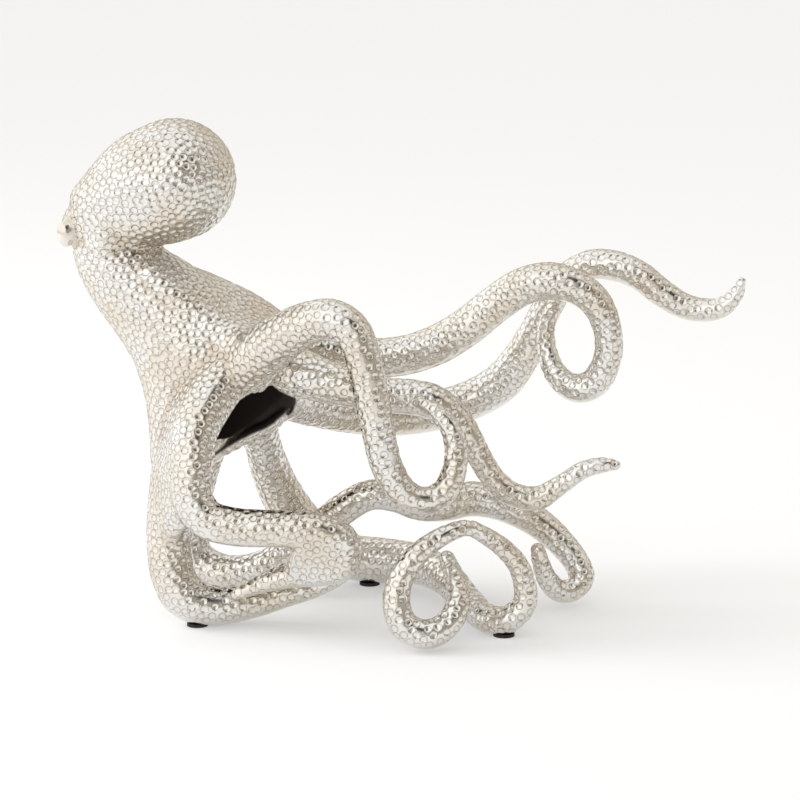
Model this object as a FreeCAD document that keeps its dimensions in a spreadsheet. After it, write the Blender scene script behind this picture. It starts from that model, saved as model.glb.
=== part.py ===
import FreeCAD, Part
import math
import os

# Driving dimensions, in millimetres.
FIGURE_LENGTH = 500.0
FIGURE_DEPTH = 225.0
FIGURE_HEIGHT = 366.0
LIMB_RADIUS = 20.0
SHELL_WALL = 3.6
PAD_DIAMETER = 15.0
PAD_THICKNESS = 2.2
LAND_HEIGHT = 3.2
EYE_RADIUS = 7.0

SHEET_ROWS = (
    ("figure_length", FIGURE_LENGTH),
    ("figure_depth", FIGURE_DEPTH),
    ("figure_height", FIGURE_HEIGHT),
    ("limb_radius", LIMB_RADIUS),
    ("shell_wall", SHELL_WALL),
    ("pad_diameter", PAD_DIAMETER),
    ("pad_thickness", PAD_THICKNESS),
    ("land_height", LAND_HEIGHT),
    ("eye_radius", EYE_RADIUS),
)

# A route row is a place on the centre line and the thickness there. X is a share of
# the length, Y of the depth and Z of the height, and the last value is a share of the
# limb radius. X runs towards the reaching arms, and Y away from the viewer.

# The mantle, from the brow to the round back of the bag.
MANTLE_SHARES = (
    (-0.467, 0.082, 0.741, 0.45),
    (-0.463, 0.082, 0.744, 0.66),
    (-0.454, 0.082, 0.750, 0.86),
    (-0.440, 0.082, 0.760, 1.08),
    (-0.422, 0.082, 0.779, 1.41),
    (-0.393, 0.082, 0.801, 1.77),
    (-0.356, 0.082, 0.828, 2.07),
    (-0.316, 0.082, 0.849, 2.16),
)

# The torso, from the throat to the open mouth of the skirt.
TORSO_SHARES = (
    (-0.434, 0.082, 0.751, 0.92),
    (-0.421, 0.082, 0.727, 1.16),
    (-0.401, 0.082, 0.688, 1.41),
    (-0.374, 0.082, 0.647, 1.63),
    (-0.340, 0.082, 0.602, 1.88),
    (-0.308, 0.078, 0.557, 2.13),
    (-0.276, 0.069, 0.509, 2.27),
    (-0.239, 0.056, 0.451, 2.17),
    (-0.203, 0.033, 0.393, 1.85),
)
# Two folds of the cape: one over the shoulder to the arms behind, and one on the near
# side, which runs out along the arching arm.
SHOULDER_SHARES = (
    (-0.353, 0.082, 0.684, 0.78),
    (-0.318, 0.109, 0.624, 1.19),
    (-0.275, 0.127, 0.587, 1.31),
    (-0.233, 0.136, 0.557, 1.33),
    (-0.194, 0.136, 0.523, 1.26),
    (-0.169, 0.144, 0.490, 1.04),
)
CREST_SHARES = (
    (-0.361, -0.007, 0.682, 0.53),
    (-0.325, -0.024, 0.639, 0.63),
    (-0.286, -0.033, 0.594, 0.74),
    (-0.249, -0.051, 0.555, 0.84),
    (-0.218, -0.087, 0.536, 0.87),
    (-0.192, -0.140, 0.538, 0.83),
)
# The mouth is cut off slantwise: a point of the cut, and the way that it faces.
MOUTH_SHARES = (-0.206, 0.039, 0.3987)
MOUTH_FACING_SHARES = (0.506, -0.448, -0.737)
MOUTH_CUT_SHARE = 4.0
# The hollow starts at this row of the torso and runs out of the mouth.
HOLLOW_FIRST_ROW = 3
MOUTH_OVERRUN_SHARE = 0.6

# The arms. The first rows, up to the weld row, are cast with the body.
WELD_ROW = 2
OUTER_LEG_SHARES = (
    (-0.276, 0.020, 0.474, 1.06),
    (-0.300, -0.016, 0.405, 0.99),
    (-0.311, -0.051, 0.335, 0.92),
    (-0.320, -0.091, 0.257, 0.86),
    (-0.325, -0.127, 0.178, 0.81),
    (-0.321, -0.149, 0.108, 0.78),
    (-0.302, -0.158, 0.060, 0.79),
    (-0.264, -0.153, 0.042, 0.72),
    (-0.212, -0.144, 0.047, 0.60),
    (-0.164, -0.140, 0.062, 0.49),
    (-0.119, -0.144, 0.079, 0.41),
    (-0.085, -0.153, 0.101, 0.32),
    (-0.065, -0.167, 0.129, 0.23),
)
HAIRPIN_SHARES = (
    (-0.241, -0.087, 0.493, 0.95),
    (-0.262, -0.158, 0.443, 0.91),
    (-0.280, -0.220, 0.388, 0.84),
    (-0.287, -0.264, 0.330, 0.79),
    (-0.287, -0.291, 0.278, 0.72),
    (-0.266, -0.309, 0.238, 0.69),
    (-0.228, -0.318, 0.224, 0.67),
    (-0.182, -0.322, 0.221, 0.65),
    (-0.138, -0.322, 0.220, 0.64),
    (-0.106, -0.320, 0.215, 0.62),
    (-0.083, -0.314, 0.201, 0.59),
    (-0.074, -0.305, 0.171, 0.56),
    (-0.084, -0.295, 0.140, 0.50),
    (-0.111, -0.279, 0.130, 0.51),
    (-0.153, -0.249, 0.118, 0.46),
    (-0.190, -0.233, 0.100, 0.35),
    (-0.229, -0.229, 0.077, 0.21),
)
ARCH_SHARES = (
    (-0.218, -0.096, 0.494, 0.98),
    (-0.191, -0.149, 0.539, 0.94),
    (-0.160, -0.202, 0.576, 0.84),
    (-0.125, -0.238, 0.605, 0.75),
    (-0.092, -0.264, 0.614, 0.72),
    (-0.066, -0.282, 0.593, 0.68),
    (-0.051, -0.296, 0.547, 0.63),
    (-0.040, -0.304, 0.482, 0.61),
    (-0.030, -0.309, 0.410, 0.58),
    (-0.019, -0.309, 0.344, 0.56),
    (0.003, -0.304, 0.291, 0.52),
    (0.034, -0.296, 0.271, 0.48),
    (0.064, -0.282, 0.292, 0.46),
    (0.077, -0.264, 0.344, 0.42),
    (0.072, -0.247, 0.397, 0.38),
    (0.050, -0.229, 0.433, 0.33),
    (0.025, -0.211, 0.447, 0.21),
)
POINTING_SHARES = (
    (-0.187, 0.020, 0.491, 0.99),
    (-0.147, -0.016, 0.484, 0.92),
    (-0.104, -0.042, 0.468, 0.77),
    (-0.062, -0.060, 0.456, 0.68),
    (-0.020, -0.069, 0.446, 0.63),
    (0.017, -0.073, 0.442, 0.63),
    (0.048, -0.073, 0.432, 0.61),
    (0.075, -0.069, 0.404, 0.56),
    (0.096, -0.069, 0.365, 0.48),
    (0.113, -0.069, 0.322, 0.44),
    (0.133, -0.073, 0.279, 0.43),
    (0.161, -0.078, 0.250, 0.43),
    (0.195, -0.078, 0.244, 0.43),
    (0.226, -0.078, 0.269, 0.35),
    (0.258, -0.078, 0.299, 0.32),
    (0.286, -0.078, 0.309, 0.28),
    (0.304, -0.078, 0.309, 0.19),
)
TEARDROP_SHARES = (
    (-0.198, 0.180, 0.508, 1.01),
    (-0.150, 0.198, 0.507, 0.94),
    (-0.101, 0.207, 0.494, 0.79),
    (-0.052, 0.207, 0.486, 0.72),
    (0.000, 0.198, 0.489, 0.72),
    (0.052, 0.184, 0.513, 0.72),
    (0.097, 0.171, 0.552, 0.70),
    (0.137, 0.158, 0.598, 0.68),
    (0.174, 0.144, 0.633, 0.68),
    (0.213, 0.131, 0.646, 0.68),
    (0.250, 0.122, 0.635, 0.62),
    (0.279, 0.118, 0.604, 0.57),
    (0.295, 0.118, 0.555, 0.52),
    (0.297, 0.122, 0.499, 0.51),
    (0.281, 0.136, 0.447, 0.54),
    (0.253, 0.158, 0.430, 0.52),
    (0.226, 0.189, 0.452, 0.43),
    (0.212, 0.220, 0.499, 0.36),
    (0.212, 0.247, 0.546, 0.32),
    (0.223, 0.269, 0.585, 0.25),
)
REACHING_SHARES = (
    (-0.198, 0.136, 0.441, 0.93),
    (-0.159, 0.216, 0.405, 0.87),
    (-0.114, 0.291, 0.374, 0.78),
    (-0.065, 0.349, 0.352, 0.73),
    (-0.012, 0.389, 0.343, 0.74),
    (0.044, 0.416, 0.348, 0.74),
    (0.098, 0.429, 0.367, 0.74),
    (0.145, 0.429, 0.402, 0.74),
    (0.175, 0.420, 0.452, 0.68),
    (0.197, 0.407, 0.509, 0.61),
    (0.217, 0.393, 0.568, 0.55),
    (0.240, 0.376, 0.622, 0.55),
    (0.276, 0.358, 0.654, 0.55),
    (0.314, 0.340, 0.654, 0.56),
    (0.348, 0.322, 0.636, 0.53),
    (0.378, 0.309, 0.605, 0.51),
    (0.409, 0.296, 0.580, 0.47),
    (0.439, 0.282, 0.572, 0.43),
    (0.465, 0.269, 0.579, 0.38),
    (0.484, 0.260, 0.604, 0.29),
    (0.493, 0.251, 0.635, 0.15),
)
RING_LEG_SHARES = (
    (-0.222, 0.162, 0.410, 0.86),
    (-0.210, 0.233, 0.356, 0.76),
    (-0.200, 0.284, 0.297, 0.68),
    (-0.188, 0.320, 0.234, 0.74),
    (-0.167, 0.340, 0.169, 0.81),
    (-0.134, 0.350, 0.110, 0.82),
    (-0.082, 0.340, 0.062, 0.84),
    (-0.022, 0.320, 0.053, 0.84),
    (0.029, 0.250, 0.056, 0.74),
    (0.068, 0.095, 0.053, 0.63),
    (0.094, -0.080, 0.041, 0.55),
    (0.119, -0.220, 0.031, 0.52),
    (0.149, -0.273, 0.034, 0.50),
    (0.174, -0.282, 0.073, 0.43),
    (0.168, -0.287, 0.133, 0.38),
    (0.147, -0.300, 0.174, 0.35),
    (0.121, -0.318, 0.204, 0.31),
    (0.093, -0.344, 0.226, 0.29),
    (0.062, -0.371, 0.217, 0.33),
    (0.029, -0.398, 0.190, 0.38),
    (0.004, -0.420, 0.149, 0.44),
    (-0.005, -0.438, 0.102, 0.48),
    (0.005, -0.447, 0.055, 0.51),
    (0.036, -0.447, 0.037, 0.51),
    (0.064, -0.429, 0.052, 0.48),
    (0.080, -0.398, 0.089, 0.42),
    (0.076, -0.353, 0.126, 0.37),
    (0.065, -0.300, 0.160, 0.28),
)
HOOK_SHARES = (
    (-0.255, 0.109, 0.428, 0.97),
    (-0.277, 0.153, 0.350, 0.90),
    (-0.294, 0.216, 0.265, 0.82),
    (-0.308, 0.269, 0.181, 0.77),
    (-0.312, 0.291, 0.111, 0.74),
    (-0.298, 0.285, 0.061, 0.70),
    (-0.262, 0.255, 0.041, 0.66),
    (-0.223, 0.229, 0.047, 0.62),
    (-0.184, 0.202, 0.070, 0.60),
    (-0.149, 0.184, 0.106, 0.60),
    (-0.113, 0.180, 0.147, 0.60),
    (-0.078, 0.176, 0.187, 0.58),
    (-0.043, 0.171, 0.212, 0.56),
    (-0.006, 0.171, 0.208, 0.56),
    (0.029, 0.171, 0.192, 0.58),
    (0.067, 0.162, 0.195, 0.62),
    (0.104, 0.153, 0.207, 0.64),
    (0.145, 0.144, 0.198, 0.61),
    (0.184, 0.136, 0.175, 0.58),
    (0.217, 0.127, 0.143, 0.54),
    (0.246, 0.109, 0.103, 0.49),
    (0.262, 0.090, 0.066, 0.47),
    (0.259, 0.075, 0.046, 0.43),
    (0.243, 0.058, 0.034, 0.42),
    (0.225, 0.040, 0.041, 0.41),
    (0.210, 0.022, 0.068, 0.37),
    (0.202, 0.012, 0.098, 0.33),
    (0.197, 0.006, 0.126, 0.27),
)
ARMS = (
    ("arm_outer_leg", OUTER_LEG_SHARES),
    ("arm_hairpin", HAIRPIN_SHARES),
    ("arm_arch_loop", ARCH_SHARES),
    ("arm_pointing", POINTING_SHARES),
    ("arm_teardrop_loop", TEARDROP_SHARES),
    ("arm_long_reach", REACHING_SHARES),
    ("arm_ring_leg", RING_LEG_SHARES),
    ("arm_hook", HOOK_SHARES),
)

# The pads: which arm each one is under, and its place on the floor.
PAD_SHARES = (
    ("pad_outer_leg", "arm_outer_leg", -0.286, -0.156),
    ("pad_hook", "arm_hook", -0.252, 0.247),
    ("pad_ring_leg_back", "arm_ring_leg", -0.045, 0.328),
    ("pad_ring_leg_front", "arm_ring_leg", 0.145, -0.270),
)

# The two eyes bulge from the sides of the brow.
EYE_SHARES = (
    (-0.467, 0.024, 0.751),
    (-0.467, 0.140, 0.751),
)
EYE_HEIGHT_SHARE = 1.5
# An eye's rings: how high in eye heights, and how wide in eye radii.
EYE_RING_SHARES = (
    (-0.98, 0.20),
    (-0.80, 0.60),
    (-0.45, 0.89),
    (0.00, 1.00),
    (0.45, 0.89),
    (0.80, 0.60),
    (0.98, 0.20),
)

# Each step of a limb's line turns through about this many degrees, and each section
# is a ring with this many sides, which keeps the facets few.
STEP_ANGLE = 21
ARM_SIDES = 12
BODY_SIDES = 24
EYE_SIDES = 12

# A rounded end: how far on along the last heading, and how thick, in end radii.
ROUND_END_SHARES = (
    (0.50, 0.87),
    (0.87, 0.50),
    (0.98, 0.18),
)
UPRIGHT = FreeCAD.Vector(0, 0, 1)


def make_sheet(doc):
    sheet = doc.addObject("Spreadsheet::Sheet", "sizes")
    for index, (alias, value) in enumerate(SHEET_ROWS):
        cell = "B%d" % (index + 1)
        sheet.set("A%d" % (index + 1), alias)
        sheet.set(cell, str(value))
        sheet.setAlias(cell, alias)
    doc.recompute()
    return sheet


def place_of(row):
    return FreeCAD.Vector(
        row[0] * FIGURE_LENGTH, row[1] * FIGURE_DEPTH, row[2] * FIGURE_HEIGHT
    )


def eased(before, start, end, after, along):
    """A row between start and end on the smooth line that passes through all the rows."""
    values = []
    for a, b, c, d in zip(before, start, end, after):
        bend = 2 * b + (c - a) * along
        bend += (2 * a - 5 * b + 4 * c - d) * along ** 2
        bend += (3 * b - a - 3 * c + d) * along ** 3
        values.append(bend / 2)
    return tuple(values)


def turn_between(rows, index):
    """The angle that the line turns through along one run, in degrees."""
    places = [place_of(row) for row in rows]
    chord = places[index + 1] - places[index]
    turn = 0.0
    if index > 0:
        turn += chord.getAngle(places[index] - places[index - 1]) / 2
    if index + 2 < len(places):
        turn += chord.getAngle(places[index + 2] - places[index + 1]) / 2
    return math.degrees(turn)


def smoothed(rows):
    """Add rows along each run, so that no step turns far, and say where each row went."""
    result = []
    row_at = []
    for index in range(len(rows) - 1):
        before = rows[max(index - 1, 0)]
        after = rows[min(index + 2, len(rows) - 1)]
        steps = max(1, round(turn_between(rows, index) / STEP_ANGLE))
        row_at.append(len(result))
        for step in range(steps):
            result.append(eased(before, rows[index], rows[index + 1], after, step / steps))
    row_at.append(len(result))
    result.append(rows[-1])
    return result, row_at


def headings_of(rows):
    """The direction of the centre line at each row, by the chords on both sides."""
    places = [place_of(row) for row in rows]
    headings = []
    for index, place in enumerate(places):
        before = places[max(index - 1, 0)]
        after = places[min(index + 1, len(places) - 1)]
        back = place - before
        ahead = after - place
        if back.Length > 0:
            back.normalize()
        if ahead.Length > 0:
            ahead.normalize()
        heading = back + ahead
        heading.normalize()
        headings.append(heading)
    return headings


def rotations_of(headings):
    """Turn each section from the one before it by the smallest angle, so none twists."""
    rotation = FreeCAD.Rotation(UPRIGHT, headings[0])
    rotations = [rotation]
    for before, heading in zip(headings, headings[1:]):
        rotation = FreeCAD.Rotation(before, heading).multiply(rotation)
        rotations.append(rotation)
    return rotations


def add_section(doc, name, row, rotation, offset, radius_text, sides):
    """A ring on the route. The offset is in limb radii along the world axes."""
    ring = doc.addObject("Part::RegularPolygon", name)
    ring.Polygon = sides
    ring.Placement = FreeCAD.Placement(FreeCAD.Vector(), rotation)
    texts = (
        "sizes.figure_length * %.5f + sizes.limb_radius * %.5f" % (row[0], offset.x),
        "sizes.figure_depth * %.5f + sizes.limb_radius * %.5f" % (row[1], offset.y),
        "sizes.figure_height * %.5f + sizes.limb_radius * %.5f" % (row[2], offset.z),
    )
    for axis, text in zip("xyz", texts):
        ring.setExpression("Placement.Base.%s" % axis, text)
    ring.setExpression("Circumradius", radius_text)
    return ring


def add_limb(doc, name, hand_rows, sides, first=0, last=None, round_end=False):
    """A solid that follows the rows from first to last."""
    rows, row_at = smoothed(hand_rows)
    first = row_at[first]
    last = row_at[-1] if last is None else row_at[last]
    headings = headings_of(rows)
    rotations = rotations_of(headings)
    sections = []
    for index in range(first, last + 1):
        row = rows[index]
        text = "sizes.limb_radius * %.5f" % row[3]
        title = "%s_section_%02d" % (name, index)
        sections.append(add_section(doc, title, row, rotations[index], FreeCAD.Vector(), text, sides))
    if round_end:
        row = rows[last]
        for index, (ahead, thick) in enumerate(ROUND_END_SHARES):
            offset = headings[last] * (ahead * row[3])
            text = "sizes.limb_radius * %.5f" % (row[3] * thick)
            title = "%s_end_%d" % (name, index)
            sections.append(add_section(doc, title, row, rotations[last], offset, text, sides))
    loft = doc.addObject("Part::Loft", name)
    loft.Sections = sections
    loft.Solid = True
    loft.Ruled = True
    return loft


def add_hollow(doc):
    """The open inside of the torso, one wall thinner than it and run out of its mouth."""
    rows, row_at = smoothed(TORSO_SHARES)
    headings = headings_of(rows)
    rotations = rotations_of(headings)
    sections = []
    for index in range(row_at[HOLLOW_FIRST_ROW], len(rows)):
        text = "sizes.limb_radius * %.5f - sizes.shell_wall" % rows[index][3]
        title = "hollow_section_%02d" % index
        sections.append(
            add_section(doc, title, rows[index], rotations[index], FreeCAD.Vector(), text, BODY_SIDES)
        )
    past = headings[-1] * MOUTH_OVERRUN_SHARE
    text = "sizes.limb_radius * %.5f - sizes.shell_wall" % rows[-1][3]
    sections.append(add_section(doc, "hollow_past_mouth", rows[-1], rotations[-1], past, text, BODY_SIDES))
    loft = doc.addObject("Part::Loft", "hollow")
    loft.Sections = sections
    loft.Solid = True
    loft.Ruled = True
    return loft


def add_eye(doc, name, row):
    """An upright oval bulge, as a stack of rings."""
    sections = []
    for index, (height, width) in enumerate(EYE_RING_SHARES):
        ring = doc.addObject("Part::RegularPolygon", "%s_ring_%d" % (name, index))
        ring.Polygon = EYE_SIDES
        lift = height * EYE_HEIGHT_SHARE
        ring.setExpression("Circumradius", "sizes.eye_radius * %.3f" % width)
        ring.setExpression("Placement.Base.x", "sizes.figure_length * %.4f" % row[0])
        ring.setExpression("Placement.Base.y", "sizes.figure_depth * %.4f" % row[1])
        ring.setExpression(
            "Placement.Base.z", "sizes.figure_height * %.4f + sizes.eye_radius * %.4f" % (row[2], lift)
        )
        sections.append(ring)
    eye = doc.addObject("Part::Loft", name)
    eye.Sections = sections
    eye.Solid = True
    eye.Ruled = True
    return eye


def add_torso(doc):
    """The torso, with its mouth cut off slantwise, so that it opens towards the viewer."""
    whole = add_limb(doc, "torso_uncut", TORSO_SHARES, BODY_SIDES)
    cutter = doc.addObject("Part::Cylinder", "mouth_cutter")
    facing = FreeCAD.Vector(*MOUTH_FACING_SHARES)
    cutter.Placement = FreeCAD.Placement(FreeCAD.Vector(), FreeCAD.Rotation(UPRIGHT, facing))
    cutter.setExpression("Placement.Base.x", "sizes.figure_length * %.4f" % MOUTH_SHARES[0])
    cutter.setExpression("Placement.Base.y", "sizes.figure_depth * %.4f" % MOUTH_SHARES[1])
    cutter.setExpression("Placement.Base.z", "sizes.figure_height * %.4f" % MOUTH_SHARES[2])
    cutter.setExpression("Radius", "sizes.limb_radius * %.2f" % MOUTH_CUT_SHARE)
    cutter.setExpression("Height", "sizes.limb_radius * %.2f" % MOUTH_CUT_SHARE)
    torso = doc.addObject("Part::Cut", "torso")
    torso.Base = whole
    torso.Tool = cutter
    return torso


def add_body(doc):
    """The hollow casting: mantle, torso, eyes and the roots that the arms are welded to."""
    pieces = [
        add_limb(doc, "mantle", MANTLE_SHARES, BODY_SIDES, round_end=True),
        add_torso(doc),
        add_limb(doc, "shoulder", SHOULDER_SHARES, ARM_SIDES, round_end=True),
        add_limb(doc, "crest", CREST_SHARES, ARM_SIDES),
    ]
    for name, rows in ARMS:
        pieces.append(add_limb(doc, "root_of_" + name, rows, ARM_SIDES, 0, WELD_ROW))
    for index, row in enumerate(EYE_SHARES):
        pieces.append(add_eye(doc, "eye_%d" % (index + 1), row))
    joined = doc.addObject("Part::MultiFuse", "body_joined")
    joined.Shapes = pieces
    body = doc.addObject("Part::Cut", "body_shell")
    body.Base = joined
    body.Tool = add_hollow(doc)
    return body


def add_land_cutter(doc, name, spot):
    """Below the top of a pad: what is cut from the arm so that the pad has a flat seat."""
    cutter = doc.addObject("Part::Cylinder", name)
    cutter.setExpression("Radius", "sizes.pad_diameter")
    cutter.setExpression("Height", "2 * sizes.land_height")
    cutter.setExpression("Placement.Base.x", "sizes.figure_length * %.4f" % spot[2])
    cutter.setExpression("Placement.Base.y", "sizes.figure_depth * %.4f" % spot[3])
    cutter.setExpression("Placement.Base.z", "-sizes.land_height")
    return cutter


def add_arm(doc, name, rows):
    loft_name = name
    spots = [spot for spot in PAD_SHARES if spot[1] == name]
    if spots:
        loft_name = name + "_uncut"
    arm = add_limb(doc, loft_name, rows, ARM_SIDES, WELD_ROW, None, True)
    for index, spot in enumerate(spots):
        last = index == len(spots) - 1
        cut = doc.addObject("Part::Cut", name if last else name + "_first_land")
        cut.Base = arm
        cut.Tool = add_land_cutter(doc, spot[0] + "_land", spot)
        arm = cut
    return arm


def add_pad(doc, spot):
    pad = doc.addObject("Part::Cylinder", spot[0])
    pad.setExpression("Radius", "sizes.pad_diameter / 2")
    pad.setExpression("Height", "sizes.pad_thickness")
    pad.setExpression("Placement.Base.x", "sizes.figure_length * %.4f" % spot[2])
    pad.setExpression("Placement.Base.y", "sizes.figure_depth * %.4f" % spot[3])
    pad.setExpression("Placement.Base.z", "sizes.land_height - sizes.pad_thickness")
    return pad


def stand_on_origin(nodes):
    """Centre the figure over the origin, with the pads' undersides at height zero."""
    box = FreeCAD.BoundBox()
    for node in nodes:
        box.add(node.Shape.optimalBoundingBox(False))
    shift = FreeCAD.Vector(-box.Center.x, -box.Center.y, -box.ZMin)
    for node in nodes:
        node.Placement.Base = node.Placement.Base + shift


def check_and_write(doc, nodes):
    for thing in doc.Objects:
        if "Invalid" in thing.State or "Error" in thing.State:
            raise RuntimeError("%s did not compute" % thing.Name)
    os.makedirs("parts", exist_ok=True)
    for node in nodes:
        shape = node.Shape
        if shape.isNull() or not shape.isValid():
            raise RuntimeError("%s has no valid shape" % node.Label)
        if len(shape.Solids) != 1:
            raise RuntimeError("%s has %d solids" % (node.Label, len(shape.Solids)))
        shape.exportStep("parts/%s.step" % node.Label)
        print(node.Label, round(shape.Volume), "mm3")


def main():
    doc = FreeCAD.newDocument("octopus_figurine")
    make_sheet(doc)
    nodes = [add_body(doc)]
    for name, rows in ARMS:
        nodes.append(add_arm(doc, name, rows))
    for spot in PAD_SHARES:
        nodes.append(add_pad(doc, spot))
    for node in nodes:
        node.Label = node.Name
    doc.recompute()
    stand_on_origin(nodes)
    check_and_write(doc, nodes)


main()
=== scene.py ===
import math

import bpy
import numpy as np
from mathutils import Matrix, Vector
from mathutils.bvhtree import BVHTree
from mathutils.kdtree import KDTree


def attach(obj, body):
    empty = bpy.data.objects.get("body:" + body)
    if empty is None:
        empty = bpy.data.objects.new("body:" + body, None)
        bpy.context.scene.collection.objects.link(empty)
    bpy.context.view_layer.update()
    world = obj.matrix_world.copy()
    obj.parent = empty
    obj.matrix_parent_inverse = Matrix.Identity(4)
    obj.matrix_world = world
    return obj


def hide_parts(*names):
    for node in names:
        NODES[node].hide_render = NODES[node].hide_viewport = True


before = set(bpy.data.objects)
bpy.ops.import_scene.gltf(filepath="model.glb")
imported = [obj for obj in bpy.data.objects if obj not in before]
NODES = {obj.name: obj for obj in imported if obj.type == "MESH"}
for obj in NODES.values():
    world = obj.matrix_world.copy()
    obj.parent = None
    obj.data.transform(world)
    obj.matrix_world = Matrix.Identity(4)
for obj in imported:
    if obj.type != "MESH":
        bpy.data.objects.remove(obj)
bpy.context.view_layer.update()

# Every length is in metres, in the part's own frame.
# ---------------------------------------------------------------- the figure
ARMS = (
    "arm_outer_leg",
    "arm_hairpin",
    "arm_arch_loop",
    "arm_pointing",
    "arm_teardrop_loop",
    "arm_long_reach",
    "arm_ring_leg",
    "arm_hook",
)
PADS = ("pad_outer_leg", "pad_hook", "pad_ring_leg_back", "pad_ring_leg_front")
CAST_NODES = ("body_shell",) + ARMS

# The figure as rows on centre lines: X is a share of the length, Y of the depth and Z of the
# height, and the last value is the thickness as a share of the limb radius.
FIGURE_SIZES = (0.500, 0.225, 0.366, 0.020)
SHELL_WALL = 0.0036
MANTLE_SHARES = (
    (-0.467, 0.082, 0.741, 0.45),
    (-0.463, 0.082, 0.744, 0.66),
    (-0.454, 0.082, 0.750, 0.86),
    (-0.440, 0.082, 0.760, 1.08),
    (-0.422, 0.082, 0.779, 1.41),
    (-0.393, 0.082, 0.801, 1.77),
    (-0.356, 0.082, 0.828, 2.07),
    (-0.316, 0.082, 0.849, 2.16),
)
TORSO_SHARES = (
    (-0.434, 0.082, 0.751, 0.92),
    (-0.421, 0.082, 0.727, 1.16),
    (-0.401, 0.082, 0.688, 1.41),
    (-0.374, 0.082, 0.647, 1.63),
    (-0.340, 0.082, 0.602, 1.88),
    (-0.308, 0.078, 0.557, 2.13),
    (-0.276, 0.069, 0.509, 2.27),
    (-0.239, 0.056, 0.451, 2.17),
    (-0.203, 0.033, 0.393, 1.85),
)
SHOULDER_SHARES = (
    (-0.353, 0.082, 0.684, 0.78),
    (-0.318, 0.109, 0.624, 1.19),
    (-0.275, 0.127, 0.587, 1.31),
    (-0.233, 0.136, 0.557, 1.33),
    (-0.194, 0.136, 0.523, 1.26),
    (-0.169, 0.144, 0.490, 1.04),
)
CREST_SHARES = (
    (-0.361, -0.007, 0.682, 0.53),
    (-0.325, -0.024, 0.639, 0.63),
    (-0.286, -0.033, 0.594, 0.74),
    (-0.249, -0.051, 0.555, 0.84),
    (-0.218, -0.087, 0.536, 0.87),
    (-0.192, -0.140, 0.538, 0.83),
)
# What flows between the limbs: the neck under the mantle and the hip over the leg.
NECK_SHARES = (
    (-0.440, 0.082, 0.752, 1.02),
    (-0.421, 0.082, 0.751, 1.38),
    (-0.403, 0.082, 0.745, 1.42),
    (-0.387, 0.082, 0.737, 1.15),
)
HIP_SHARES = (
    (-0.340, 0.060, 0.590, 1.45),
    (-0.322, 0.040, 0.520, 1.43),
    (-0.313, 0.010, 0.450, 1.27),
    (-0.313, -0.030, 0.380, 1.06),
    (-0.316, -0.060, 0.320, 0.92),
)
# The lip on the far side of the open mouth.
LIP_SHARES = (
    (-0.128, 0.182, 0.4280, 0.20),
    (-0.143, 0.178, 0.4080, 0.24),
    (-0.183, 0.169, 0.3560, 0.25),
    (-0.216, 0.160, 0.3350, 0.25),
    (-0.244, 0.151, 0.3150, 0.25),
    (-0.266, 0.142, 0.2960, 0.22),
)
# The mouth is cut along the plane through this place that looks this way. The hollow starts
# at this row of the torso and runs out past the mouth, and an arm's root ends at its weld.
MOUTH_SHARES = (-0.206, 0.039, 0.3987)
MOUTH_FACING = (0.506, -0.448, -0.737)
MOUTH_CUT = 0.080
HOLLOW_FIRST_ROW = 3
MOUTH_OVERRUN = 0.012
WELD_ROW = 2
OUTER_LEG_SHARES = (
    (-0.276, 0.020, 0.474, 1.06),
    (-0.300, -0.016, 0.405, 0.99),
    (-0.311, -0.051, 0.335, 0.92),
    (-0.320, -0.091, 0.257, 0.86),
    (-0.325, -0.127, 0.178, 0.81),
    (-0.321, -0.149, 0.108, 0.78),
    (-0.302, -0.158, 0.060, 0.79),
    (-0.264, -0.153, 0.042, 0.72),
    (-0.212, -0.144, 0.047, 0.60),
    (-0.164, -0.140, 0.062, 0.49),
    (-0.119, -0.144, 0.079, 0.41),
    (-0.085, -0.153, 0.101, 0.32),
    (-0.065, -0.167, 0.129, 0.23),
)
HAIRPIN_SHARES = (
    (-0.241, -0.087, 0.493, 0.95),
    (-0.267, -0.158, 0.443, 0.88),
    (-0.285, -0.220, 0.388, 0.81),
    (-0.287, -0.264, 0.330, 0.79),
    (-0.287, -0.291, 0.278, 0.72),
    (-0.266, -0.309, 0.238, 0.69),
    (-0.228, -0.318, 0.224, 0.67),
    (-0.182, -0.322, 0.221, 0.65),
    (-0.138, -0.322, 0.220, 0.64),
    (-0.106, -0.320, 0.215, 0.62),
    (-0.083, -0.314, 0.201, 0.59),
    (-0.074, -0.305, 0.171, 0.56),
    (-0.084, -0.295, 0.140, 0.50),
    (-0.111, -0.279, 0.130, 0.51),
    (-0.153, -0.249, 0.118, 0.46),
    (-0.190, -0.233, 0.100, 0.35),
    (-0.229, -0.229, 0.077, 0.21),
)
ARCH_SHARES = (
    (-0.218, -0.096, 0.494, 0.98),
    (-0.191, -0.149, 0.539, 0.94),
    (-0.160, -0.202, 0.576, 0.84),
    (-0.125, -0.238, 0.605, 0.75),
    (-0.092, -0.264, 0.614, 0.72),
    (-0.066, -0.282, 0.593, 0.68),
    (-0.051, -0.296, 0.547, 0.63),
    (-0.040, -0.304, 0.482, 0.61),
    (-0.030, -0.309, 0.410, 0.58),
    (-0.019, -0.309, 0.344, 0.56),
    (0.003, -0.304, 0.291, 0.52),
    (0.034, -0.296, 0.271, 0.48),
    (0.064, -0.282, 0.292, 0.46),
    (0.077, -0.264, 0.344, 0.42),
    (0.072, -0.247, 0.397, 0.38),
    (0.050, -0.229, 0.433, 0.33),
    (0.025, -0.211, 0.447, 0.21),
)
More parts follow.
